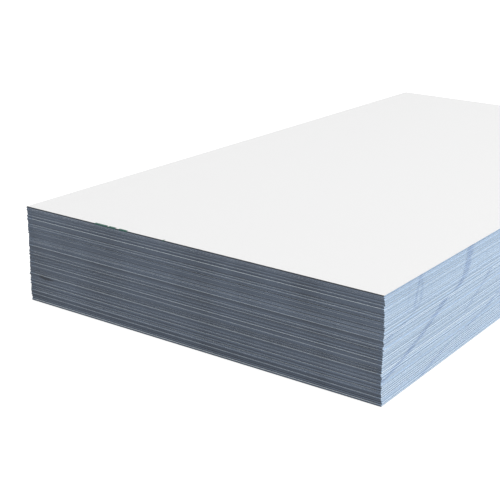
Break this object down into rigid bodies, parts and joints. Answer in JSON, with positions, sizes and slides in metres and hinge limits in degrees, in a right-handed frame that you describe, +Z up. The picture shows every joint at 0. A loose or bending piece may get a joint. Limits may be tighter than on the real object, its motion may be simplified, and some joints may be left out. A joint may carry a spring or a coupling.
{
  "type": "stack of aluminium composite panels",
  "caption": "Flat-piled stack of large sheets, each two thin aluminium skins bonded to a dark plastic core, with a smooth white face up and slightly ragged cut edges.",
  "frame": {"origin": "centre of the bottom panel's underside, where the stack rests", "axes": "+X along the panels' length, +Y across their width, +Z up through the stack"},
  "size_m": [2.4493, 1.2345, 0.3],
  "materials": {
    "back_skin": "satin",
    "core": "matte",
    "face_skin": "satin"
  },
  "bodies": {
    "root": {"bottom_panel_back_skin": "back_skin", "bottom_panel_core": "core", "bottom_panel_face_skin": "face_skin", "inner_panels_back_skin": "back_skin", "inner_panels_core": "core", "inner_panels_face_skin": "face_skin", "top_panel_back_skin": "back_skin", "top_panel_core": "core", "top_panel_face_skin": "face_skin"}
  },
  "joints": []
}
